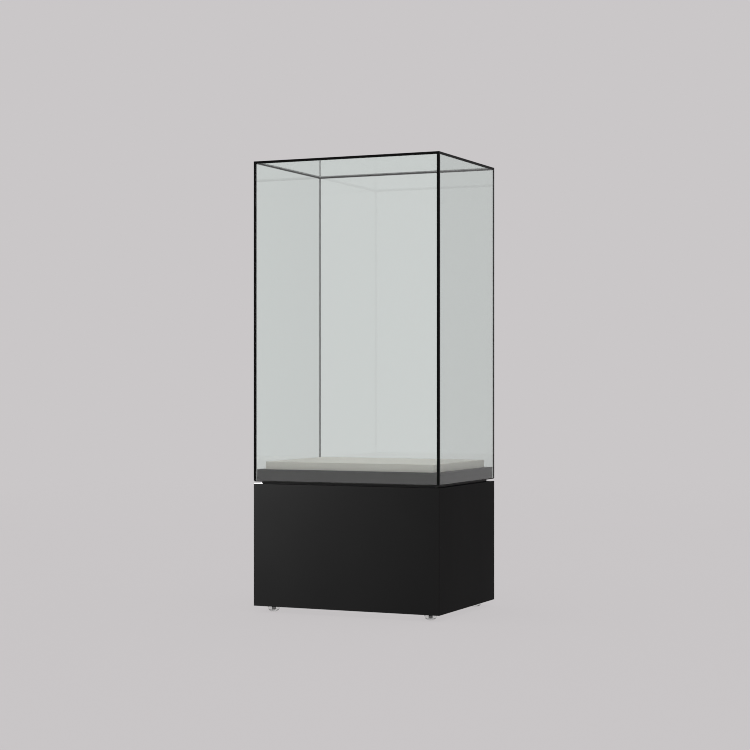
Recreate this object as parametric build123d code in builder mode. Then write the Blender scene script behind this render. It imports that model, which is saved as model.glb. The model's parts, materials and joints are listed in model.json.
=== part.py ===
from build123d import *

import os

# Free-standing museum display case: a clear five-sided hood that lifts off over a raised deck,
# a shadow gap, and a steel plinth on four levelling feet. Millimetres, +Z up, front towards -Y.
# The origin is the centre of the footprint, on the floor under the feet.

# ---- driving dimensions ----

# Overall sizes
case_width = 800
case_depth = 600
floor_gap = 25  # floor to the plinth's lower edge
plinth_height = 487
shadow_gap = 12  # plinth top to the hood's lower edge
hood_height = 1276

# Hood
pane_thickness = 10
top_pane_thickness = 5  # thinner than the walls, so the bars stand proud of it inside
edge_bar = pane_thickness  # square black bar along every upright and top edge
edge_arris = 0.6
pane_arris = 0.5

# Hood seat: a ledge plate that stands out under the hood's lower edge, with a foam strip on it
ledge_thickness = 1.5
ledge_inset = 2
ledge_width = 58
seal_thickness = 1.5
seal_inset = 2.5
seal_width = 7

# Deck inside the hood's foot
deck_rise = 46  # hood's lower edge to the deck's top
hood_clearance = 1  # sideways, between the deck and the hood that slides over it
deck_sheet = 1.5
deck_fold_radius = 1.5
deck_board_thickness = 18
deck_board_clearance = 0.5
bearer_width = 40
bearer_spacing = 400

# Riser board that lies loose on the deck
riser_inset = 37
riser_thickness = 30
riser_edge_radius = 1
dowel_diameter = 8
dowel_length = 28
dowel_stand = 12  # above the deck
dowel_inset = 60  # in from the riser's edges
dowel_clearance = 0.3
dowel_seat_clearance = 0.05

# Neck: the flat-bar ring that carries the deck across the shadow gap
neck_inset = 25
neck_width = 30

# Plinth shell and its rear panel
shell_wall = 2
shell_edge_radius = 1.5
flange_width = 20
flange_wall = 2
panel_thickness = 3
panel_gap = 1
panel_screw_pitch = 200

# Inner frame
frame_inset = 10  # plinth face to the frame's outside
tube_size = 40
tube_wall = 3
tube_radius = 4
base_pan_sheet = 2
pan_notch_gap = 1

# Levelling feet
stem_diameter = 16
stem_length = 67
stem_fit = 0.08  # radial, in every bore that the stem turns in
stem_to_rail = 2
stem_seat_depth = 10  # from the cup's rim down to the stem's foot
stem_thrust_gap = 0.1
stem_chamfer = 1.5
stem_socket_flats = 8
stem_socket_depth = 10
cup_height = 18
cup_rim_radius = 25
cup_floor_radius = 13
cup_edge_radius = 0.6
cup_bulge_out = 1.5  # the cup's side past a straight slope, halfway up
cup_bulge_down = 2.5
cup_wall = 2.5
cup_floor_thickness = 5
cup_well_radius = 15
cup_boss_radius = 10.5
cup_boss_height = 13
hex_flats = 19
hex_height = 6
stop_gap = 0.3
nut_flats = 24
nut_height = 8
foot_plate_thickness = 8

# Deck bolts, M6 socket head
bolt_diameter = 6
bolt_length = 25
bolt_head_diameter = 10
bolt_head_height = 6
bolt_socket_flats = 5
bolt_socket_depth = 3
bolt_hole_clearance = 0.3
thread_clearance = 0.05
bolt_pitch = 280

# Rear panel screws, M5 countersunk
screw_diameter = 5
screw_length = 8
screw_head_radius = 4.9
screw_hole_clearance = 0.2
screw_socket_flats = 3
screw_socket_depth = 1.6

# ---- levels and outlines that follow from them ----

plinth_top = floor_gap + plinth_height
hood_bottom = plinth_top + shadow_gap
hood_top = hood_bottom + hood_height
seal_bottom = hood_bottom - seal_thickness
ledge_bottom = seal_bottom - ledge_thickness
neck_height = ledge_bottom - plinth_top
deck_top = hood_bottom + deck_rise
deck_board_top = deck_top - deck_sheet
bearer_height = deck_board_top - deck_board_thickness - seal_bottom

deck_inset = pane_thickness + hood_clearance
deck_inside_inset = deck_inset + deck_sheet
deck_board_inset = deck_inside_inset + deck_board_clearance

frame_width = case_width - 2 * frame_inset
frame_depth = case_depth - 2 * frame_inset
frame_top = plinth_top - shell_wall
top_rail_bottom = frame_top - tube_size

foot_inset = frame_inset + tube_size + stem_diameter / 2 + stem_to_rail
foot_x = case_width / 2 - foot_inset
foot_y = case_depth / 2 - foot_inset
hex_bottom = cup_height + stop_gap
nut_bottom = hex_bottom + hex_height + stop_gap
frame_bottom = nut_bottom + nut_height + foot_plate_thickness
base_rail_top = frame_bottom + tube_size
stem_seat = cup_height - stem_seat_depth
stem_bottom = stem_seat + stem_thrust_gap

bolt_inset = (neck_inset + frame_inset + tube_size) / 2
bolt_x = case_width / 2 - bolt_inset
bolt_y = case_depth / 2 - bolt_inset

corners = {
    "front_left": (-1, -1),
    "front_right": (1, -1),
    "back_left": (-1, 1),
    "back_right": (1, 1),
}

os.makedirs("parts", exist_ok=True)


def save(part, name):
    """Labels a finished piece and writes it as one STEP file."""
    part.label = name
    export_step(part, f"parts/{name}.step")


# ---- hood ----


def hood_pane(name, face_plane, width, inward):
    """One upright pane between its corner bars, drawn on its outer face and grown inwards."""
    height = hood_height - edge_bar
    with BuildPart() as pane:
        with BuildSketch(face_plane):
            with Locations((0, hood_bottom + height / 2)):
                Rectangle(width, height)
        extrude(amount=inward * pane_thickness)
        chamfer(pane.faces().sort_by(Axis.Z)[0].edges(), pane_arris)
    save(pane.part, name)


front_pane_width = case_width - 2 * edge_bar
side_pane_width = case_depth - 2 * edge_bar
hood_pane("pane_front", Plane.XZ.offset(case_depth / 2), front_pane_width, -1)
hood_pane("pane_back", Plane.XZ.offset(-case_depth / 2), front_pane_width, 1)
hood_pane("pane_left", Plane.YZ.offset(-case_width / 2), side_pane_width, 1)
hood_pane("pane_right", Plane.YZ.offset(case_width / 2), side_pane_width, -1)

with BuildPart() as pane_top:
    with BuildSketch(Plane.XY.offset(hood_top - top_pane_thickness)):
        Rectangle(front_pane_width, side_pane_width)
    extrude(amount=top_pane_thickness)
save(pane_top.part, "pane_top")

# Corner bars stand the hood's full height, and the top bars run between them
for corner, (side_x, side_y) in corners.items():
    with BuildPart() as corner_bar:
        with BuildSketch(Plane.XY.offset(hood_bottom)):
            with Locations((side_x * (case_width - edge_bar) / 2, side_y * (case_depth - edge_bar) / 2)):
                Rectangle(edge_bar, edge_bar)
        extrude(amount=hood_height)
        outer_face_x = corner_bar.faces().sort_by(Axis.X)[-1 if side_x > 0 else 0]
        outer_face_y = corner_bar.faces().sort_by(Axis.Y)[-1 if side_y > 0 else 0]
        outer_edge = [e for e in outer_face_x.edges() if e in outer_face_y.edges()]
        chamfer(outer_edge, edge_arris)
    save(corner_bar.part, f"corner_bar_{corner}")


def top_bar(name, side_axis, side, length):
    """One bar along a top edge, with its outer upper edge eased."""
    if side_axis == Axis.Y:
        centre = (0, side * (case_depth - edge_bar) / 2)
        size = (length, edge_bar)
    else:
        centre = (side * (case_width - edge_bar) / 2, 0)
        size = (edge_bar, length)
    with BuildPart() as bar:
        with BuildSketch(Plane.XY.offset(hood_top - edge_bar)):
            with Locations(centre):
                Rectangle(*size)
        extrude(amount=edge_bar)
        upper_edges = bar.faces().sort_by(Axis.Z)[-1].edges()
        chamfer(upper_edges.sort_by(side_axis)[-1 if side > 0 else 0], edge_arris)
    save(bar.part, name)


top_bar("top_bar_front", Axis.Y, -1, front_pane_width)
top_bar("top_bar_back", Axis.Y, 1, front_pane_width)
top_bar("top_bar_left", Axis.X, -1, side_pane_width)
top_bar("top_bar_right", Axis.X, 1, side_pane_width)


# ---- hood seat, neck and deck ----


def bolt_places(level):
    """The eight deck bolts: three along the front and the back, one at each side."""
    along = [(x, y, level) for x in (-bolt_pitch, 0, bolt_pitch) for y in (-bolt_y, bolt_y)]
    return along + [(-bolt_x, 0, level), (bolt_x, 0, level)]


def ring(name, bottom, height, inset, width, bolt_hole_radius=None):
    """A flat rectangular ring, inset from the case's faces, drilled for the deck bolts if asked."""
    with BuildPart() as band:
        with BuildSketch(Plane.XY.offset(bottom)):
            Rectangle(case_width - 2 * inset, case_depth - 2 * inset)
            Rectangle(
                case_width - 2 * (inset + width),
                case_depth - 2 * (inset + width),
                mode=Mode.SUBTRACT,
            )
        extrude(amount=height)
        if bolt_hole_radius:
            with Locations(*bolt_places(bottom + height)):
                Hole(bolt_hole_radius, depth=height)
    save(band.part, name)


bolt_hole_radius = bolt_diameter / 2 + bolt_hole_clearance
ring("hood_seal", seal_bottom, seal_thickness, seal_inset, seal_width)
ring("ledge_plate", ledge_bottom, ledge_thickness, ledge_inset, ledge_width, bolt_hole_radius)
ring("neck_ring", plinth_top, neck_height, neck_inset, neck_width, bolt_hole_radius)

riser_width = case_width - 2 * riser_inset
riser_depth = case_depth - 2 * riser_inset
dowel_grid = (riser_width - 2 * dowel_inset, riser_depth - 2 * dowel_inset, 2, 2)
dowel_bottom = deck_top + dowel_stand - dowel_length
dowel_seat_radius = dowel_diameter / 2 + dowel_seat_clearance

# Folded steel pan, open underneath, that the hood slides down over
with BuildPart() as deck_pan:
    with BuildSketch(Plane.XY.offset(seal_bottom)):
        Rectangle(case_width - 2 * deck_inset, case_depth - 2 * deck_inset)
    extrude(amount=deck_top - seal_bottom)
    fillet(deck_pan.edges().filter_by(Axis.Z), deck_fold_radius)
    fillet(deck_pan.faces().sort_by(Axis.Z)[-1].edges(), deck_fold_radius)
    with BuildSketch(Plane.XY.offset(seal_bottom)):
        Rectangle(case_width - 2 * deck_inside_inset, case_depth - 2 * deck_inside_inset)
    extrude(amount=deck_board_top - seal_bottom, mode=Mode.SUBTRACT)
    with BuildSketch(Plane.XY.offset(deck_board_top)):
        with GridLocations(*dowel_grid):
            Circle(dowel_seat_radius)
    extrude(amount=deck_sheet, mode=Mode.SUBTRACT)
save(deck_pan.part, "deck_pan")

with BuildPart() as deck_board:
    with BuildSketch(Plane.XY.offset(deck_board_top - deck_board_thickness)):
        Rectangle(case_width - 2 * deck_board_inset, case_depth - 2 * deck_board_inset)
    extrude(amount=deck_board_thickness)
    with BuildSketch(Plane.XY.offset(dowel_bottom)):
        with GridLocations(*dowel_grid):
            Circle(dowel_seat_radius)
    extrude(amount=deck_board_top - dowel_bottom, mode=Mode.SUBTRACT)
save(deck_board.part, "deck_board")

bearer_mid = seal_bottom + bearer_height / 2
for name, bearer_x in (("deck_bearer_left", -bearer_spacing / 2), ("deck_bearer_right", bearer_spacing / 2)):
    with BuildPart() as bearer:
        with BuildSketch(Plane.XZ):
            with Locations((bearer_x, bearer_mid)):
                RectangleRounded(bearer_width, bearer_height, tube_radius)
                RectangleRounded(
                    bearer_width - 2 * tube_wall,
                    bearer_height - 2 * tube_wall,
                    tube_radius - tube_wall,
                    mode=Mode.SUBTRACT,
                )
        extrude(amount=case_depth / 2 - deck_board_inset, both=True)
    save(bearer.part, name)

with BuildPart() as riser_dowels:
    with BuildSketch(Plane.XY.offset(dowel_bottom)):
        with GridLocations(*dowel_grid):
            Circle(dowel_diameter / 2)
    extrude(amount=dowel_length)
save(riser_dowels.part, "riser_dowels")

with BuildPart() as riser_board:
    with BuildSketch(Plane.XY.offset(deck_top)):
        Rectangle(riser_width, riser_depth)
    extrude(amount=riser_thickness)
    fillet(riser_board.edges().filter_by(Axis.Z), riser_edge_radius)
    fillet(riser_board.faces().sort_by(Axis.Z)[-1].edges(), riser_edge_radius)
    with BuildSketch(Plane.XY.offset(deck_top)):
        with GridLocations(*dowel_grid):
            Circle(dowel_diameter / 2 + dowel_clearance)
    extrude(amount=dowel_stand + dowel_clearance, mode=Mode.SUBTRACT)
save(riser_board.part, "riser_board")

with BuildPart() as deck_bolts:
    with Locations(*bolt_places(seal_bottom)):
        Cylinder(bolt_head_diameter / 2, bolt_head_height, align=(Align.CENTER, Align.CENTER, Align.MIN))
        Cylinder(bolt_diameter / 2, bolt_length, align=(Align.CENTER, Align.CENTER, Align.MAX))
    with BuildSketch(Plane.XY.offset(seal_bottom + bolt_head_height)):
        with Locations(*[place[:2] for place in bolt_places(0)]):
            RegularPolygon(bolt_socket_flats / 2, 6, major_radius=False)
    extrude(amount=-bolt_socket_depth, mode=Mode.SUBTRACT)
save(deck_bolts.part, "deck_bolts")


# ---- plinth shell and rear panel ----

panel_inner_y = case_depth / 2 - panel_thickness
flange_inner_y = panel_inner_y - flange_wall
shell_inside_width = case_width - 2 * shell_wall
panel_width = shell_inside_width - 2 * panel_gap
panel_height = plinth_height - shell_wall - panel_gap
panel_mid = floor_gap + panel_height / 2
screw_x = shell_inside_width / 2 - flange_width / 2
screw_places = [
    (x, panel_mid + row * panel_screw_pitch) for x in (-screw_x, screw_x) for row in (-1, 0, 1)
]
rear_face = Plane((0, case_depth / 2, 0), x_dir=(-1, 0, 0), z_dir=(0, 1, 0))

# Welded sheet cover: front, sides and top, open underneath and at the back, where flanges
# behind the rear panel take its screws
with BuildPart() as plinth_shell:
    with BuildSketch(Plane.XY.offset(floor_gap)):
        Rectangle(case_width, case_depth)
    extrude(amount=plinth_height)
    fillet(plinth_shell.edges().filter_by(Axis.Z), shell_edge_radius)
    fillet(plinth_shell.faces().sort_by(Axis.Z)[-1].edges(), shell_edge_radius)
    front_inside_y = -case_depth / 2 + shell_wall
    inside_depth = flange_inner_y - front_inside_y
    with BuildSketch(Plane.XY.offset(floor_gap)):
        with Locations((0, front_inside_y + inside_depth / 2)):
            Rectangle(shell_inside_width, inside_depth)
    extrude(amount=frame_top - floor_gap, mode=Mode.SUBTRACT)
    with BuildSketch(rear_face):
        with Locations((0, (floor_gap + frame_top) / 2)):
            Rectangle(shell_inside_width, frame_top - floor_gap)
    extrude(amount=-panel_thickness, mode=Mode.SUBTRACT)
    with BuildSketch(rear_face):
        with Locations((0, (floor_gap + frame_top) / 2)):
            Rectangle(
                shell_inside_width - 2 * flange_width,
                frame_top - floor_gap - 2 * flange_width,
            )
    extrude(amount=-panel_thickness - flange_wall, mode=Mode.SUBTRACT)
    with BuildSketch(Plane.XY.offset(frame_top)):
        Rectangle(case_width - 2 * (neck_inset + neck_width), case_depth - 2 * (neck_inset + neck_width))
    extrude(amount=shell_wall, mode=Mode.SUBTRACT)
    with Locations(*bolt_places(plinth_top)):
        Hole(bolt_hole_radius, depth=shell_wall)
    with BuildSketch(rear_face):
        with Locations(*screw_places):
            Circle(screw_diameter / 2 + thread_clearance)
    extrude(amount=-panel_thickness - flange_wall, mode=Mode.SUBTRACT)
save(plinth_shell.part, "plinth_shell")

with BuildPart(rear_face) as back_panel:
    with BuildSketch(rear_face):
        with Locations((0, panel_mid)):
            Rectangle(panel_width, panel_height)
    extrude(amount=-panel_thickness)
    with Locations(*screw_places):
        CounterSinkHole(
            screw_diameter / 2 + screw_hole_clearance,
            screw_head_radius + screw_hole_clearance,
            depth=panel_thickness,
            counter_sink_angle=90,
        )
save(back_panel.part, "back_panel")

screw_head_depth = screw_head_radius - screw_diameter / 2
with BuildPart(rear_face) as back_panel_screws:
    with Locations(*screw_places):
        Cylinder(screw_diameter / 2, screw_length, align=(Align.CENTER, Align.CENTER, Align.MAX))
        Cone(
            screw_diameter / 2,
            screw_head_radius,
            screw_head_depth,
            align=(Align.CENTER, Align.CENTER, Align.MAX),
        )
    with BuildSketch(rear_face):
        with Locations(*screw_places):
            RegularPolygon(screw_socket_flats / 2, 6, major_radius=False)
    extrude(amount=-screw_socket_depth, mode=Mode.SUBTRACT)
save(back_panel_screws.part, "back_panel_screws")


# ---- inner frame ----


def square_tube(name, plane, length, bolts=()):
    """A square tube, drawn on a plane through its middle and grown both ways."""
    with BuildPart() as tube:
        with BuildSketch(plane):
            RectangleRounded(tube_size, tube_size, tube_radius)
            RectangleRounded(
                tube_size - 2 * tube_wall,
                tube_size - 2 * tube_wall,
                tube_radius - tube_wall,
                mode=Mode.SUBTRACT,
            )
        extrude(amount=length / 2, both=True)
        if bolts:
            with Locations(*bolts):
                Hole(bolt_diameter / 2 + thread_clearance, depth=tube_wall)
    save(tube.part, name)


rail_y = (frame_depth - tube_size) / 2
rail_x = (frame_width - tube_size) / 2
side_rail_length = frame_depth - 2 * tube_size
for level_name, rail_level in (("base", base_rail_top - tube_size / 2), ("top", frame_top - tube_size / 2)):
    rail_bolts = bolt_places(frame_top) if level_name == "top" else []
    for side_name, side in (("front", -1), ("back", 1)):
        own_bolts = [place for place in rail_bolts if place[1] * side > 0]
        rail_plane = Plane((0, side * rail_y, rail_level), x_dir=(0, 1, 0), z_dir=(1, 0, 0))
        square_tube(f"{level_name}_rail_{side_name}", rail_plane, frame_width, own_bolts)
    for side_name, side in (("left", -1), ("right", 1)):
        own_bolts = [place for place in rail_bolts if place[1] == 0 and place[0] * side > 0]
        rail_plane = Plane((side * rail_x, 0, rail_level), x_dir=(1, 0, 0), z_dir=(0, -1, 0))
        square_tube(f"{level_name}_rail_{side_name}", rail_plane, side_rail_length, own_bolts)

post_length = top_rail_bottom - base_rail_top
post_mid = base_rail_top + post_length / 2
for corner, (side_x, side_y) in corners.items():
    square_tube(f"post_{corner}", Plane((side_x * rail_x, side_y * rail_y, post_mid)), post_length)

# Sheet that closes the plinth's floor, notched round the posts
with BuildPart() as base_pan:
    with BuildSketch(Plane.XY.offset(base_rail_top)):
        Rectangle(frame_width, frame_depth)
        with GridLocations(2 * rail_x, 2 * rail_y, 2, 2):
            Rectangle(tube_size + 2 * pan_notch_gap, tube_size + 2 * pan_notch_gap, mode=Mode.SUBTRACT)
    extrude(amount=base_pan_sheet)
save(base_pan.part, "base_pan")


# ---- levelling feet ----

stem_bore_radius = stem_diameter / 2 + stem_fit
foot_plate_size = 2 * (foot_inset - frame_inset)
cup_bulge_radius = (cup_floor_radius + cup_rim_radius) / 2 + cup_bulge_out
cup_bulge = (cup_bulge_radius, cup_height / 2 - cup_bulge_down)
cup_lip_radius = cup_rim_radius - cup_wall
well_bulge_radius = (cup_well_radius + cup_lip_radius + cup_bulge_out) / 2
well_bulge = (well_bulge_radius, (cup_floor_thickness + cup_height) / 2 - cup_bulge_down)

for corner, (side_x, side_y) in corners.items():
    foot_centre = (side_x * foot_x, side_y * foot_y)

    with BuildPart() as foot_plate:
        with BuildSketch(Plane.XY.offset(nut_bottom + nut_height)):
            with Locations(foot_centre):
                Rectangle(foot_plate_size, foot_plate_size)
                Circle(stem_bore_radius, mode=Mode.SUBTRACT)
        extrude(amount=foot_plate_thickness)
    save(foot_plate.part, f"foot_plate_{corner}")

    with BuildPart() as jam_nut:
        with BuildSketch(Plane.XY.offset(nut_bottom)):
            with Locations(foot_centre):
                RegularPolygon(nut_flats / 2, 6, major_radius=False)
                Circle(stem_bore_radius, mode=Mode.SUBTRACT)
        extrude(amount=nut_height)
    save(jam_nut.part, f"jam_nut_{corner}")

    with BuildPart() as foot_stem:
        with BuildSketch(Plane.XY.offset(stem_bottom)):
            with Locations(foot_centre):
                Circle(stem_diameter / 2)
        extrude(amount=stem_length)
        chamfer(foot_stem.faces().sort_by(Axis.Z)[-1].edges(), stem_chamfer)
        with BuildSketch(Plane.XY.offset(hex_bottom)):
            with Locations(foot_centre):
                RegularPolygon(hex_flats / 2, 6, major_radius=False)
        extrude(amount=hex_height)
        with BuildSketch(Plane.XY.offset(stem_bottom + stem_length)):
            with Locations(foot_centre):
                RegularPolygon(stem_socket_flats / 2, 6, major_radius=False)
        extrude(amount=-stem_socket_depth, mode=Mode.SUBTRACT)
    save(foot_stem.part, f"foot_stem_{corner}")

    # Hollow round cup that spreads from its flat underside to its rim, with a boss for the stem
    foot_plane = Plane((*foot_centre, 0), x_dir=(1, 0, 0), z_dir=(0, -1, 0))
    with BuildPart() as foot_cup:
        with BuildSketch(foot_plane):
            with BuildLine():
                Line((0, 0), (cup_floor_radius, 0))
                ThreePointArc((cup_floor_radius, 0), cup_bulge, (cup_rim_radius, cup_height))
                Line((cup_rim_radius, cup_height), (cup_lip_radius, cup_height))
                ThreePointArc(
                    (cup_lip_radius, cup_height), well_bulge, (cup_well_radius, cup_floor_thickness)
                )
                Polyline(
                    (cup_well_radius, cup_floor_thickness),
                    (cup_boss_radius, cup_floor_thickness),
                    (cup_boss_radius, cup_boss_height),
                    (0, cup_boss_height),
                    (0, 0),
                )
            make_face()
        revolve(axis=Axis((*foot_centre, 0), (0, 0, 1)))
        fillet(foot_cup.faces().sort_by(Axis.Z)[-1].edges(), cup_edge_radius)
        with BuildSketch(Plane.XY.offset(stem_seat)):
            with Locations(foot_centre):
                Circle(stem_bore_radius)
        extrude(amount=cup_boss_height - stem_seat, mode=Mode.SUBTRACT)
    save(foot_cup.part, f"foot_cup_{corner}")
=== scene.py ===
# %% [markdown]
# # A museum display case, finished in Blender
#
# The case is a clear acrylic hood with black edges. It stands over a grey deck and a white riser
# board, on a black steel plinth with four levelling feet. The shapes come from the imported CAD
# frame, so this lesson is about surfaces, small shapes that CAD leaves plain, and light.

import json
import math

import bmesh
import bpy
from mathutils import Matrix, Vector


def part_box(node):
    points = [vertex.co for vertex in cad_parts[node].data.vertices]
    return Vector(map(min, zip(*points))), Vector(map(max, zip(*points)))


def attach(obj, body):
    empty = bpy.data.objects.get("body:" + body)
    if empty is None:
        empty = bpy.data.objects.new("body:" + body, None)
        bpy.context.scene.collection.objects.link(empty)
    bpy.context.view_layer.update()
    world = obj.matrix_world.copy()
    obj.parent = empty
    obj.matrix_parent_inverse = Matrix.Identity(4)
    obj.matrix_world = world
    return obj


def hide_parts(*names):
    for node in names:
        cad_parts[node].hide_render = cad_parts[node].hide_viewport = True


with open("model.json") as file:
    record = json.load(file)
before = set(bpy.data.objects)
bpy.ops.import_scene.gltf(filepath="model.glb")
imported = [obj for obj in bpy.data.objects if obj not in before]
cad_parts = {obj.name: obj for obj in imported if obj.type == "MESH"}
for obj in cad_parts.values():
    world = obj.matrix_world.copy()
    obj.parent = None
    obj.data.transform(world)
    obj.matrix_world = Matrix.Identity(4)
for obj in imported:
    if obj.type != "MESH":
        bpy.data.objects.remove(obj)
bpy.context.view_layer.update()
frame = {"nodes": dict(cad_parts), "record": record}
nodes = frame["nodes"]
record = frame["record"]
slot_of = {part["node"]: part["material_slot"] for part in record["subparts"]}

# %% [markdown]
# ## Measures
#
# The camera and the small parts placed later hang on a few corners of the case. Reading them from
# the frame means that a change in the CAD moves them with it.

# %% Read the main levels and half-sizes
plinth_low, plinth_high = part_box("plinth_shell")
pane_low, pane_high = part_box("pane_front")
half_width = plinth_high.x
half_depth = plinth_high.y
plinth_bottom = plinth_low.z
plinth_top = plinth_high.z
hood_bottom = pane_low.z
hood_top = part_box("pane_top")[1].z
pane_thickness = pane_high.y - pane_low.y
MM = 0.001
print("case", round(2 * half_width, 3), "x", round(2 * half_depth, 3), "x", round(hood_top, 3), "m")

# %% [markdown]
# ## Writing shaders as sums
#
# A finish is a small calculation that is done at every point of a surface. Node by node it is hard
# to read, so `Signal` wraps a socket and lets the calculation be written with + - * and **.
# `Finish` holds one material, and its `node` method makes any other node: its type, its settings,
# and then what its sockets hold, either a value or a Signal to link.


# %% Signal: a socket that can be used in a sum
class Signal:
    def __init__(self, finish, socket):
        self.finish = finish
        self.socket = socket

    def math(self, operation, other=None, swapped=False):
        terms = [self] if other is None else [self, other]
        if swapped:
            terms.reverse()
        sockets = {index: term for index, term in enumerate(terms)}
        return self.finish.node("ShaderNodeMath", {"operation": operation}, sockets)

    def __add__(self, other):
        return self.math("ADD", other)

    def __sub__(self, other):
        return self.math("SUBTRACT", other)

    def __rsub__(self, other):
        return self.math("SUBTRACT", other, swapped=True)

    def __mul__(self, other):
        return self.math("MULTIPLY", other)

    def __pow__(self, other):
        return self.math("POWER", other)

    __radd__ = __add__
    __rmul__ = __mul__


# %% [markdown]
# A finish is a whole tree of nodes. Written out, each one would repeat the same few steps, so they
# are methods here: smooth noise, noise drawn out one way, a soft threshold, a blend of two colours
# and a bump.

# %% Finish: one material and the nodes in it
class Finish:
    def __init__(self, name, tree_owner=None):
        self.owner = tree_owner or bpy.data.materials.new(name)
        self.owner.use_nodes = True
        self.tree = self.owner.node_tree
        self.tree.nodes.clear()

    def node(self, kind, settings=None, sockets=None, output=0):
        made = self.tree.nodes.new(kind)
        for name, value in (settings or {}).items():
            setattr(made, name, value)
        for name, value in (sockets or {}).items():
            if isinstance(value, Signal):
                self.tree.links.new(value.socket, made.inputs[name])
            else:
                made.inputs[name].default_value = value
        return Signal(self, made.outputs[output]) if made.outputs else None

    def place(self):
        """Where a point of the piece is, in metres, in the case's own frame."""
        return self.node("ShaderNodeTexCoord", output="Object")

    def axes(self, vector):
        """A vector's x, y and z as three signals."""
        first = self.node("ShaderNodeSeparateXYZ", sockets={0: vector})
        outputs = first.socket.node.outputs
        return [Signal(self, outputs[index]) for index in range(3)]

    def noise(self, scale, detail=2.0, roughness=0.5, where=None):
        """Smooth random numbers from 0 to 1, at a scale given in grains per metre."""
        return self.node(
            "ShaderNodeTexNoise",
            {"noise_dimensions": "3D"},
            {
                "Vector": where or self.place(),
                "Scale": scale,
                "Detail": detail,
                "Roughness": roughness,
            },
        )

    def stretched(self, along):
        """The piece's place with each axis scaled, for streaks that run one way."""
        return self.node(
            "ShaderNodeVectorMath", {"operation": "MULTIPLY"}, {0: self.place(), 1: along}
        )

    def ease(self, value, low, high):
        """0 below low, 1 above high, and smooth between."""
        return self.node(
            "ShaderNodeMapRange",
            {"interpolation_type": "SMOOTHSTEP"},
            {"Value": value, "From Min": low, "From Max": high},
        )

    def blend_colours(self, share, first, second):
        return self.node(
            "ShaderNodeMix",
            {"data_type": "RGBA"},
            {0: share, 6: first, 7: second},
            output=2,
        )

    def bump(self, height, depth):
        """A Bump node's normal: height runs from 0 to 1, and depth is its size in metres."""
        return self.node(
            "ShaderNodeBump", sockets={"Strength": 1.0, "Distance": depth, "Height": height}
        )

    def surface(self, shader):
        self.node("ShaderNodeOutputMaterial", sockets={"Surface": shader})
        return self.owner


def grey(level, warmth=0.0):
    """A colour of one lightness, a little warm or cool."""
    return (level * (1 + warmth), level, level * (1 - warmth), 1.0)


finishes = {}
print("helpers ready")

# %% [markdown]
# ## Clear acrylic
#
# The hood's walls are 10 mm cast acrylic, and its top is 5 mm. A clear shader mixed with a mirror
# would be quicker, but it misses what gives a thick pane away: light bends as it goes in, so the
# black edge bars look narrower or wider than they are, and a steep view shows a brighter mirror.
# Real refraction on solid panes gives all of that. Cleaning leaves a faint film and fine swirls,
# strongest by the lower edge, where hands lift the hood, so a very small share of dull film is
# mixed over the clear plastic.

# %% Clear acrylic
ACRYLIC_IOR = 1.49

acrylic = Finish("clear_acrylic")
swirls = acrylic.noise(6.0, detail=3.0)
hairlines = acrylic.noise(1.0, detail=4.0, where=acrylic.stretched((420.0, 420.0, 24.0)))
clear = acrylic.node(
    "ShaderNodeBsdfPrincipled",
    sockets={
        "Base Color": (0.955, 0.998, 0.982, 1.0),
        "Transmission Weight": 1.0,
        "IOR": ACRYLIC_IOR,
        "Roughness": 0.004 + 0.012 * swirls * hairlines,
    },
)
film = acrylic.node("ShaderNodeBsdfDiffuse", sockets={"Color": grey(0.75)})
height = acrylic.axes(acrylic.place())[2]
handled = 1 - acrylic.ease(height, hood_bottom, hood_bottom + 0.35)
dust = acrylic.noise(900.0, detail=2.0)
film_share = 0.001 + acrylic.ease(dust, 0.62, 0.75) * (0.002 + 0.004 * handled)
pane = acrylic.node("ShaderNodeMixShader", sockets={0: film_share, 1: clear, 2: film})
finishes["clear_acrylic"] = acrylic.surface(pane)

# %% [markdown]
# ## Black edges
#
# The bars along the hood's edges are black acrylic, bonded to the panes and polished flush. They
# are a dark, smooth plastic with fine sanding lines along their length. At the upright corners
# their arris, the small flat along the outer edge, is a little smoother because it is rubbed each
# time the hood is wiped, and its colour is a little lighter there: a painted highlight.

# %% Black edge bars
edges = Finish("black_edge")
x, y, z = edges.axes(edges.place())
sanding = edges.noise(1.0, detail=3.0, where=edges.stretched((1500.0, 1500.0, 30.0)))
beside = edges.ease(x.math("ABSOLUTE"), half_width - 1.2 * MM, half_width - 0.4 * MM)
before = edges.ease(y.math("ABSOLUTE"), half_depth - 1.2 * MM, half_depth - 0.4 * MM)
arris = beside * before
# The lighter colour on the corner arris is a painted highlight; the lower roughness there is real
# polish from wiping.
edge_colour_with_highlight = edges.blend_colours(arris, (0.0018, 0.0022, 0.0020, 1), (0.0050, 0.0056, 0.0052, 1))
bar = edges.node(
    "ShaderNodeBsdfPrincipled",
    sockets={
        "Base Color": edge_colour_with_highlight,
        "Roughness": 0.30 + 0.14 * sanding - 0.05 * arris,
        "Specular IOR Level": 0.06,
        "Normal": edges.bump(sanding, 0.01 * MM),
    },
)
finishes["black_edge"] = edges.surface(bar)

# %% [markdown]
# ## Powder coat
#
# The plinth, the deck and the inner frame are steel with a baked powder coat. Powder melts into a
# skin with a fine orange-peel ripple, about a millimetre from crest to crest. A ripple in the
# normal and small changes of roughness say "paint on steel" better than any colour. The three
# paints differ only in colour, gloss and coarseness, so one function makes them all.


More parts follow.
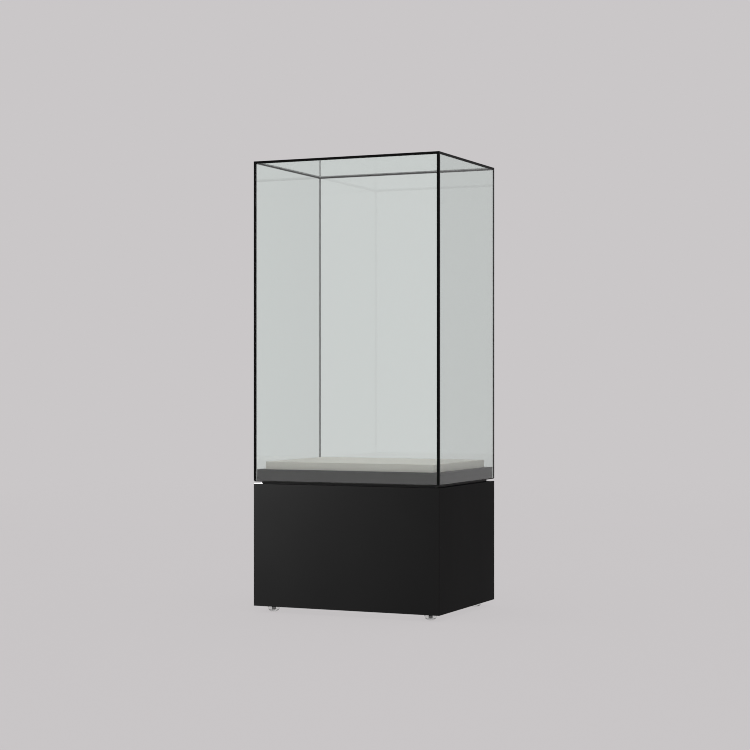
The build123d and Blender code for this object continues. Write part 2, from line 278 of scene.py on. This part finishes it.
# %% Powder coats
def powder_coat(name, colour, worn, roughness, grain, depth, gloss):
    coat = Finish(name)
    peel = coat.noise(grain, detail=2.0, roughness=0.55)
    patches = coat.noise(3.0, detail=3.0)
    wiped = coat.noise(1.0, detail=3.0, where=coat.stretched((14.0, 14.0, 3.0)))
    speck = coat.ease(coat.noise(2600.0, detail=0.0), 0.70, 0.78)
    tone = coat.blend_colours(0.5 * patches + 0.35 * speck, colour, worn)
    skin = coat.node(
        "ShaderNodeBsdfPrincipled",
        sockets={
            "Base Color": tone,
            "Roughness": roughness + 0.07 * (wiped - 0.5) + 0.05 * (peel - 0.5),
            "Specular IOR Level": gloss,
            "Normal": coat.bump(peel, depth),
        },
    )
    return coat.surface(skin)


finishes["plinth_black"] = powder_coat(
    "plinth_black",
    colour=grey(0.0037),
    worn=grey(0.0060),
    roughness=0.48,
    grain=850.0,
    depth=0.02 * MM,
    gloss=0.015,
)
finishes["deck_grey"] = powder_coat(
    "deck_grey",
    colour=(0.0215, 0.0222, 0.0204, 1),
    worn=(0.0275, 0.0283, 0.0262, 1),
    roughness=0.62,
    grain=1300.0,
    depth=0.03 * MM,
    gloss=0.20,
)
finishes["frame_black"] = powder_coat(
    "frame_black",
    colour=grey(0.018),
    worn=grey(0.030),
    roughness=0.52,
    grain=600.0,
    depth=0.04 * MM,
    gloss=0.4,
)

# %% [markdown]
# ## Lacquered riser board
#
# The riser is fine fibreboard with a rolled, warm white lacquer. A roller leaves a soft stipple of
# a few millimetres, and the lacquer wears a touch darker along the edges, where boards get
# handled. A stipple in the normal is enough, since it is too shallow to change the outline.

# %% White lacquer
riser_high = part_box("riser_board")[1]
lacquer = Finish("riser_white")
x, y, z = lacquer.axes(lacquer.place())
stipple = lacquer.noise(320.0, detail=3.0)
cloud = lacquer.noise(5.0, detail=3.0)
near_x = lacquer.ease(x.math("ABSOLUTE"), riser_high.x - 3 * MM, riser_high.x)
near_y = lacquer.ease(y.math("ABSOLUTE"), riser_high.y - 3 * MM, riser_high.y)
near_top = lacquer.ease(z, riser_high.z - 2 * MM, riser_high.z)
edge_wear = near_top * near_x.math("MAXIMUM", near_y) * lacquer.noise(60.0, detail=3.0)
tone = lacquer.blend_colours(0.6 * cloud, (0.875, 0.835, 0.765, 1), (0.905, 0.872, 0.812, 1))
tone = lacquer.blend_colours(0.7 * edge_wear, tone, (0.70, 0.62, 0.51, 1))
paint = lacquer.node(
    "ShaderNodeBsdfPrincipled",
    sockets={
        "Base Color": tone,
        "Roughness": 0.42 + 0.12 * stipple,
        "Specular IOR Level": 0.1,
        "Normal": lacquer.bump(stipple, 0.05 * MM),
    },
)
finishes["riser_white"] = lacquer.surface(paint)

# %% [markdown]
# ## Wood, zinc, steel and rubber
#
# The pieces inside are seen only when the hood, the riser or the rear panel comes off. Fibreboard
# is a felt of fine chips, beech has flecks along its grain, zinc plate has a cloudy spangle, oiled
# steel shows turning rings, and the seal is a closed-cell foam.

# %% Fibreboard and beech
board = Finish("raw_board")
chips = board.noise(1.0, detail=5.0, roughness=0.7, where=board.stretched((420.0, 420.0, 1500.0)))
board_colour = board.blend_colours(chips, (0.22, 0.135, 0.075, 1), (0.40, 0.27, 0.165, 1))
finishes["raw_board"] = board.surface(
    board.node(
        "ShaderNodeBsdfPrincipled",
        sockets={
            "Base Color": board_colour,
            "Roughness": 0.8 + 0.1 * chips,
            "Normal": board.bump(chips, 0.08 * MM),
        },
    )
)

beech = Finish("beech")
grain = beech.noise(1.0, detail=4.0, where=beech.stretched((900.0, 900.0, 60.0)))
flecks = beech.ease(beech.noise(1.0, where=beech.stretched((1800.0, 1800.0, 260.0))), 0.62, 0.7)
beech_colour = beech.blend_colours(grain, (0.47, 0.28, 0.14, 1), (0.66, 0.44, 0.26, 1))
beech_colour = beech.blend_colours(0.5 * flecks, beech_colour, (0.28, 0.14, 0.06, 1))
finishes["beech"] = beech.surface(
    beech.node(
        "ShaderNodeBsdfPrincipled",
        sockets={
            "Base Color": beech_colour,
            "Roughness": 0.55 + 0.15 * grain,
            "Normal": beech.bump(grain, 0.04 * MM),
        },
    )
)

# %% [markdown]
# Metals are told apart by how they scatter light more than by their colour. Zinc plate is a
# patchwork of crystals, so its cells come from a Voronoi texture. Blackened steel keeps rings from
# the lathe, so its noise changes quickly up the stem and slowly round it. Foam is full of small
# round cells, which a smooth Voronoi gives.

# %% Zinc plate, blackened steel and foam rubber
zinc = Finish("zinc_steel")
spangle = zinc.node(
    "ShaderNodeTexVoronoi",
    {"feature": "F1"},
    {"Vector": zinc.place(), "Scale": 130.0},
    output="Color",
)
facet = zinc.axes(spangle)[0]
haze = zinc.noise(9.0, detail=3.0)
cloudy = 0.6 * facet + 0.3 * haze
zinc_colour = zinc.blend_colours(cloudy, (0.42, 0.43, 0.43, 1), (0.62, 0.63, 0.62, 1))
finishes["zinc_steel"] = zinc.surface(
    zinc.node(
        "ShaderNodeBsdfPrincipled",
        sockets={
            "Base Color": zinc_colour,
            "Metallic": 1.0,
            "Roughness": 0.34 + 0.14 * facet + 0.1 * haze,
            "Normal": zinc.bump(facet, 0.01 * MM),
        },
    )
)

oxide = Finish("black_steel")
turning = oxide.noise(1.0, detail=3.0, where=oxide.stretched((160.0, 160.0, 2400.0)))
rubbed = oxide.ease(oxide.noise(260.0, detail=4.0), 0.56, 0.74)
oxide_colour = oxide.blend_colours(0.35 * rubbed, (0.022, 0.022, 0.024, 1), (0.16, 0.155, 0.15, 1))
finishes["black_steel"] = oxide.surface(
    oxide.node(
        "ShaderNodeBsdfPrincipled",
        sockets={
            "Base Color": oxide_colour,
            "Metallic": 0.85,
            "Roughness": 0.38 + 0.12 * turning,
            "Normal": oxide.bump(turning, 0.01 * MM),
        },
    )
)

foam = Finish("foam_rubber")
cells = foam.node(
    "ShaderNodeTexVoronoi",
    {"feature": "SMOOTH_F1"},
    {"Vector": foam.place(), "Scale": 1600.0},
    output="Distance",
)
foam_colour = foam.blend_colours(cells, grey(0.008), grey(0.022))
finishes["foam_rubber"] = foam.surface(
    foam.node(
        "ShaderNodeBsdfPrincipled",
        sockets={
            "Base Color": foam_colour,
            "Roughness": 0.85 + 0.1 * cells,
            "Normal": foam.bump(cells, 0.15 * MM),
        },
    )
)

# %% [markdown]
# ## Clear foot cups
#
# The cups under the feet are turned from clear plastic. They are small and thick, so here real
# refraction matters: it is what draws the dark outline round a clear foot and shows the stem
# standing in it. Their undersides are scuffed by the floor.

# %% Clear plastic for the cups
cup_plastic = Finish("clear_cup")
height = cup_plastic.axes(cup_plastic.place())[2]
scuffed = 1 - cup_plastic.ease(height, 0.2 * MM, 1.5 * MM)
marks = cup_plastic.noise(500.0, detail=4.0)
finishes["clear_cup"] = cup_plastic.surface(
    cup_plastic.node(
        "ShaderNodeBsdfPrincipled",
        sockets={
            "Base Color": (0.95, 0.96, 0.95, 1),
            "Transmission Weight": 1.0,
            "IOR": ACRYLIC_IOR,
            "Roughness": 0.02 + 0.03 * marks + 0.35 * scuffed,
            "Normal": cup_plastic.bump(marks, 0.01 * MM),
        },
    )
)

# %% [markdown]
# ## Painting the pieces
#
# Every piece in the frame names a slot, such as "deck_grey", that says what it is made of. Going
# through the slots, and not through the pieces by hand, paints each piece exactly once.

# %% Paint every piece with its slot's finish
for name, piece in nodes.items():
    piece.data.materials.clear()
    piece.data.materials.append(finishes[slot_of[name]])
print("finishes:", ", ".join(sorted(finishes)))

# %% [markdown]
# ## Pieces that need more shape
#
# Three kinds of piece are drawn plainly in the CAD, and are made again here. The panes get edges
# that run a hair's breadth into the black bars, because a bond has no air in it: without that,
# light inside the pane would bounce off its own edge and the bars would look like mirrors.


# %% A helper that hands a finished mesh to the frame
def add_piece(name, mesh, body, slot, replaced, smooth_degrees=30):
    piece = bpy.data.objects.new(name, mesh)
    bpy.context.scene.collection.objects.link(piece)
    mesh.materials.clear()
    mesh.materials.append(finishes[slot])
    mesh.shade_smooth()
    mesh.set_sharp_from_angle(angle=math.radians(smooth_degrees))
    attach(piece, body)
    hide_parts(*replaced)


# %% [markdown]
# The panes keep the CAD's own mesh. New boxes would look the same, but copying keeps the eased
# lower edges and the exact size. Only the points on a bonded edge move, outwards into the bar.

# %% Panes bonded into the bars
BOND = 0.3 * MM
bar_width = pane_thickness
bonded_at = (half_width - bar_width, half_depth - bar_width, hood_top - bar_width)


def bonded_pane(side, bonded_axes):
    mesh = nodes["pane_" + side].data.copy()
    for point in mesh.vertices:
        for axis in bonded_axes:
            if abs(abs(point.co[axis]) - bonded_at[axis]) < 0.1 * MM:
                point.co[axis] += math.copysign(BOND, point.co[axis])
    add_piece("clear_pane_" + side, mesh, "hood", "clear_acrylic", ["pane_" + side])


for side in ("front", "back"):
    bonded_pane(side, (0, 2))
for side in ("left", "right"):
    bonded_pane(side, (1, 2))
bonded_pane("top", (0, 1))
print("five panes, bonded", round(1000 * BOND, 2), "mm into the bars")

# %% [markdown]
# The seal is a strip of self-adhesive foam. It could stay a plain flat ring, but foam that carries
# a hood bulges at its sides, so its section is a low cushion, swept round the four sides and
# mitred at the corners.

# %% Foam seal with a cushion section
SEAL_STEPS = 12
seal_low, seal_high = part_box("hood_seal")
SEAL_WIDTH = 7 * MM
seal_middle = SEAL_WIDTH / 2
seal_height = seal_high.z - seal_low.z
SEAL_RELIEF = 0.02 * MM

rings = []
strip = bmesh.new()
for side_x, side_y in ((-1, -1), (1, -1), (1, 1), (-1, 1)):
    ring = []
    for step in range(SEAL_STEPS + 1):
        turn = math.pi * step / SEAL_STEPS
        out = seal_middle * math.cos(turn)
        up = (seal_height - SEAL_RELIEF) * math.sin(turn) ** 0.45
        reach_x = seal_high.x - seal_middle + out
        reach_y = seal_high.y - seal_middle + out
        ring.append(strip.verts.new((side_x * reach_x, side_y * reach_y, seal_low.z + up)))
    rings.append(ring)
for index, ring in enumerate(rings):
    following = rings[(index + 1) % len(rings)]
    for step in range(SEAL_STEPS + 1):
        other = (step + 1) % (SEAL_STEPS + 1)
        strip.faces.new((ring[step], following[step], following[other], ring[other]))
bmesh.ops.recalc_face_normals(strip, faces=strip.faces)
seal_mesh = bpy.data.meshes.new("foam_strip")
strip.to_mesh(seal_mesh)
strip.free()
add_piece("foam_strip", seal_mesh, "plinth", "foam_rubber", ["hood_seal"], 60)
print("foam strip", round(1000 * seal_height, 1), "mm high")

# %% [markdown]
# The feet turn on M16 stems. A thread is a ridge that climbs 2 mm each turn. It could be a bump in
# the material, but the outline of a screw shows its teeth, so here it is real: the stem is a stack
# of rings, and the radius at each point follows a triangle wave that shifts with the angle. The
# hexagon for the spanner is made from rings in the same way, with a cone that cuts its corners.

# %% Threaded stems
SEGMENTS = 72
PITCH = 2 * MM
THREAD_DEPTH = 1.1 * MM
RINGS_PER_TURN = 8
CHAMFER_SLOPE = 0.5
CHAMFER_SHARE = 0.16  # of the hexagon's height, at each end
STEM_RADIUS = 8 * MM
SPANNER_FLATS = 19 * MM
SPANNER_HEIGHT = 6 * MM
SPANNER_GAP = 0.3 * MM  # cup to hexagon
SOCKET_FLATS = 8 * MM
SOCKET_DEPTH = 10 * MM


def hexagon(flats):
    """Radius of a hexagon at an angle, with corners on the x axis."""

    def radius(angle):
        from_flat = (angle % (math.pi / 3)) - math.pi / 6
        return flats / 2 / math.cos(from_flat)

    return radius


def stem_levels(bottom, top, pin_top, hex_top, radius, hex_flats, socket_flats, socket_depth):
    """Every ring of a stem, bottom to top and back down its socket, as (height, radius rule)."""
    levels = [(bottom, lambda angle: radius - 1 * MM), (bottom + 1 * MM, lambda angle: radius)]
    levels.append((pin_top, lambda angle: radius))
    spanner_hex = hexagon(hex_flats)
    corner = hex_flats / 2 / math.cos(math.pi / 6)
    for share in (0, 0.08, 0.16, 0.84, 0.92, 1):
        height = pin_top + share * (hex_top - pin_top)
        cut_share = max(0, CHAMFER_SHARE - share, share - 1 + CHAMFER_SHARE)
        inset = cut_share * (hex_top - pin_top) / CHAMFER_SLOPE
        levels.append((height, lambda angle, cut=corner - inset: min(spanner_hex(angle), cut)))
    levels.append((hex_top, lambda angle: radius - THREAD_DEPTH))
    count = round((top - hex_top) / PITCH * RINGS_PER_TURN)
    for index in range(count + 1):
        height = hex_top + (top - hex_top) * index / count
        fade = min(1, (height - hex_top) / PITCH, (top - height) / PITCH)

        def thread(angle, height=height, fade=fade):
            turn = (height / PITCH - angle / (2 * math.pi)) % 1
            ridge = 1 - abs(2 * turn - 1)
            crest = min(1, max(0, 1.25 * ridge - 0.125))
            return radius - THREAD_DEPTH * (1 - crest * fade)

        levels.append((height, thread))
    levels.append((top, hexagon(socket_flats)))
    levels.append((top - socket_depth, hexagon(socket_flats)))
    return levels


def stacked_rings(name, centre, levels):
    """A closed mesh from rings that are joined one to the next and capped at both ends."""
    body = bmesh.new()
    rings = []
    for height, rule in levels:
        ring = []
        for index in range(SEGMENTS):
            angle = 2 * math.pi * index / SEGMENTS
            radius = rule(angle)
            x = centre[0] + radius * math.cos(angle)
            y = centre[1] + radius * math.sin(angle)
            ring.append(body.verts.new((x, y, height)))
        rings.append(ring)
    for low, high in zip(rings, rings[1:]):
        for index in range(SEGMENTS):
            after = (index + 1) % SEGMENTS
            body.faces.new((low[index], low[after], high[after], high[index]))
    body.faces.new(list(reversed(rings[0])))
    body.faces.new(rings[-1])
    mesh = bpy.data.meshes.new(name)
    body.to_mesh(mesh)
    body.free()
    return mesh


corners = [f"{front}_{side}" for front in ("front", "back") for side in ("left", "right")]
for corner_name in corners:
    stem_low, stem_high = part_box("foot_stem_" + corner_name)
    cup_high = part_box("foot_cup_" + corner_name)[1]
    centre = (stem_low + stem_high) / 2
    levels = stem_levels(
        bottom=stem_low.z,
        top=stem_high.z,
        pin_top=cup_high.z + SPANNER_GAP,
        hex_top=cup_high.z + SPANNER_GAP + SPANNER_HEIGHT,
        radius=STEM_RADIUS,
        hex_flats=SPANNER_FLATS,
        socket_flats=SOCKET_FLATS,
        socket_depth=SOCKET_DEPTH,
    )
    mesh = stacked_rings("threaded_stem_" + corner_name, centre, levels)
    add_piece(
        "threaded_stem_" + corner_name,
        mesh,
        "stem_" + corner_name,
        "black_steel",
        ["foot_stem_" + corner_name],
    )
print("stems with", len(levels), "rings of", SEGMENTS, "points")

# %% [markdown]
# ## Stage, lamps and camera
#
# The floor is a pale sheet that fades into the room, so that no horizon shows. A plain sheet with
# a lamp over it would do, but its shadows would be hard. This one glows by itself, as a light
# table does, which keeps them very soft.

# %% Floor that fades into the room
ROOM = (0.591, 0.571, 0.578, 1.0)
FLOOR_RADIUS = 12.0
FADE_FROM = 3.0
FADE_END = 11.0
FLOOR_GLOW = 0.90

floor_mesh = bpy.data.meshes.new("floor")
sheet = bmesh.new()
bmesh.ops.create_circle(sheet, cap_ends=True, segments=96, radius=FLOOR_RADIUS)
sheet.to_mesh(floor_mesh)
sheet.free()
floor = bpy.data.objects.new("floor", floor_mesh)
bpy.context.scene.collection.objects.link(floor)

vinyl = Finish("floor_vinyl")
x, y, z = vinyl.axes(vinyl.place())
distance = (x * x + y * y) ** 0.5
fade = vinyl.ease(distance, FADE_FROM, FADE_END)
mottle = vinyl.noise(1.3, detail=4.0)
pale = vinyl.blend_colours(mottle, (0.43, 0.416, 0.421, 1), (0.45, 0.435, 0.440, 1))
matt = vinyl.node("ShaderNodeBsdfDiffuse", sockets={"Color": pale})
lit = vinyl.node("ShaderNodeEmission", sockets={"Color": ROOM, "Strength": 1.0})
matt = vinyl.node("ShaderNodeMixShader", sockets={0: FLOOR_GLOW, 1: matt, 2: lit})
gone = vinyl.node("ShaderNodeBsdfTransparent", sockets={"Color": grey(1.0)})
floor.data.materials.append(
    vinyl.surface(vinyl.node("ShaderNodeMixShader", sockets={0: fade, 1: matt, 2: gone}))
)
vinyl.owner.cycles.emission_sampling = "NONE"
print("floor", 2 * FLOOR_RADIUS, "m across")

# %% [markdown]
# A studio has a bright ceiling, a window on one side and dim corners. Lamps would not shine
# through refracting panes without noise, so the room is a pale dome that lights everything inside
# the hood. It is bright overhead, has one window in front, and is a little darker to the right and
# in a strip at the back right, which is what the hood's right pane mirrors.

# %% Room light
world = bpy.data.worlds.new("room")
bpy.context.scene.world = world
room = Finish("room", tree_owner=world)
direction = room.node("ShaderNodeTexCoord", output="Generated")
x, y, z = room.axes(direction)
ACROSS_STRIP = (0.9317, -0.3633)  # level direction square to the dark strip
TO_WINDOW = (-0.41, -0.912)  # level direction of the window's middle

overhead = room.ease(z, 0.24, 0.75)
off_strip = (ACROSS_STRIP[0] * x + ACROSS_STRIP[1] * y).math("ABSOLUTE")
dark_strip = (1 - room.ease(off_strip, 0.03, 0.16)) * room.ease(y, 0.0, 0.3) * (1 - overhead)
dark_side = room.ease(x, 0.55, 0.85) * (1 - overhead)
towards_window = TO_WINDOW[0] * x + TO_WINDOW[1] * y
window_side = room.ease(towards_window, 0.2, 0.9)
window = room.ease(towards_window, 0.955, 0.985)
strength = 1.0 - 0.30 * dark_strip - 0.12 * dark_side + 0.17 * window_side + 0.48 * window
strength = strength + 1.3 * overhead
glow = room.node("ShaderNodeBackground", sockets={"Color": ROOM, "Strength": strength})
room.node("ShaderNodeOutputWorld", sockets={"Surface": glow})
print("room light made of", len(room.tree.nodes), "nodes")


# %% [markdown]
# Black paint under even light is a flat black shape. A photographer brings softboxes close to it,
# so that each face runs from lighter to darker. Here there are three: low at the front left,
# behind and at the right. Light linking keeps them off the hood and the deck, which the dome
# already lights well.

# %% Softboxes that only the plinth sees
def softbox(name, place, target, size, power, lit_pieces):
    lamp = bpy.data.lights.new(name, "AREA")
    lamp.shape = "RECTANGLE"
    lamp.size, lamp.size_y = size
    lamp.energy = power
    holder = bpy.data.objects.new(name, lamp)
    holder.location = place
    aim = Vector(target) - Vector(place)
    holder.rotation_euler = aim.to_track_quat("-Z", "Y").to_euler()
    bpy.context.scene.collection.objects.link(holder)
    linked = bpy.data.collections.new(name + "_receivers")
    for piece in lit_pieces:
        linked.objects.link(piece)
    holder.light_linking.receiver_collection = linked


mid_height = (plinth_bottom + hood_top) / 2
plinth_pieces = [nodes["plinth_shell"], nodes["back_panel"], nodes["back_panel_screws"]]
softbox("low_softbox", (-1.5, -1.5, 1.0), (-0.3, -0.3, 0.4), (0.7, 0.5), 180, plinth_pieces)
softbox("rear_softbox", (-1.5, 2.1, 1.1), (-0.1, 0.3, 0.3), (0.9, 0.7), 260, plinth_pieces)
softbox("side_softbox", (2.3, 0.3, 0.9), (0.4, 0.1, 0.3), (0.9, 0.7), 28, plinth_pieces)
print("softboxes light", len(plinth_pieces), "pieces of the plinth")

# %% [markdown]
# The camera stands a little over seven metres away with a long lens, level at half the case's
# height, so the upright edges stay parallel. It looks 24 degrees round from the front. A shift of
# the lens, not a tilt, sets the case in the frame.

# %% Camera
VIEW_ANGLE = math.radians(24.2)
LENS = 88.2
SENSOR = 36.0
CORNER_DISTANCE = 7.014
CORNER_OFFSET = 0.245
LENS_SHIFT = 0.0127

forward = Vector((-math.sin(VIEW_ANGLE), math.cos(VIEW_ANGLE), 0))
rightward = Vector((math.cos(VIEW_ANGLE), math.sin(VIEW_ANGLE), 0))
corner = Vector((half_width, -half_depth, 0))
eye = corner - CORNER_DISTANCE * forward - CORNER_OFFSET * rightward
eye.z = mid_height - 4 * MM

lens = bpy.data.cameras.new("camera")
lens.lens = LENS
lens.sensor_width = SENSOR
lens.shift_y = LENS_SHIFT
lens.clip_start = 0.05
lens.clip_end = 200.0
camera = bpy.data.objects.new("camera", lens)
camera.location = eye
camera.rotation_euler = (math.radians(90), 0, VIEW_ANGLE)
bpy.context.scene.collection.objects.link(camera)
bpy.context.scene.camera = camera
bpy.context.scene.view_settings.view_transform = "Standard"
bpy.context.scene.cycles.transparent_max_bounces = 32
bpy.context.scene.cycles.filter_width = 1.0
print("camera at", [round(value, 3) for value in eye])
